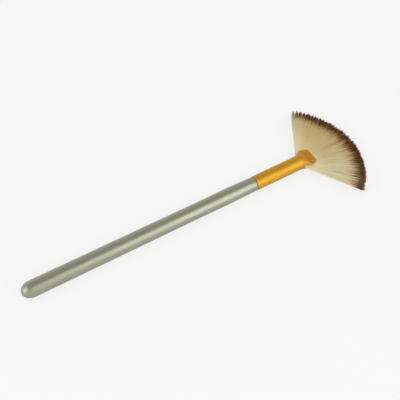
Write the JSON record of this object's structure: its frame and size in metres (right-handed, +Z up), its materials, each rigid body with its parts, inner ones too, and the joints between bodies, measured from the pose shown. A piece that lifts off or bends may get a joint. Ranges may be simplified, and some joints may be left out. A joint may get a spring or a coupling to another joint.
{
  "type": "fan makeup brush",
  "caption": "Fan makeup brush: slim lacquered handle, gold ferrule pressed to a flat slit mouth, and a flat wide fan of cream bristles with brown tips.",
  "frame": {"origin": "middle of the brush's length, under its axis, on the surface that it lies on", "axes": "+X along the brush from the butt of the handle to the bristle tips, +Y across the fan in its plane, +Z up, square to the fan"},
  "size_m": [0.1808, 0.062, 0.0079],
  "materials": {
    "pearl_lacquer": "turned wood under a satin pearl silver lacquer with a greenish cast",
    "gold_anodised": "drawn and pressed, satin gold anodised",
    "cream_bristle": "fine synthetic filament, cream, with dark brown dyed tips",
    "tie_thread": "plain wound thread",
    "epoxy": "set adhesive, pale amber"
  },
  "bodies": {
    "root": {"handle": "pearl_lacquer", "ferrule": "gold_anodised", "bristle_fan": "cream_bristle", "bristle_root": "cream_bristle", "tuft_tie": "tie_thread", "root_glue": "epoxy", "tenon_glue": "epoxy"}
  },
  "joints": []
}
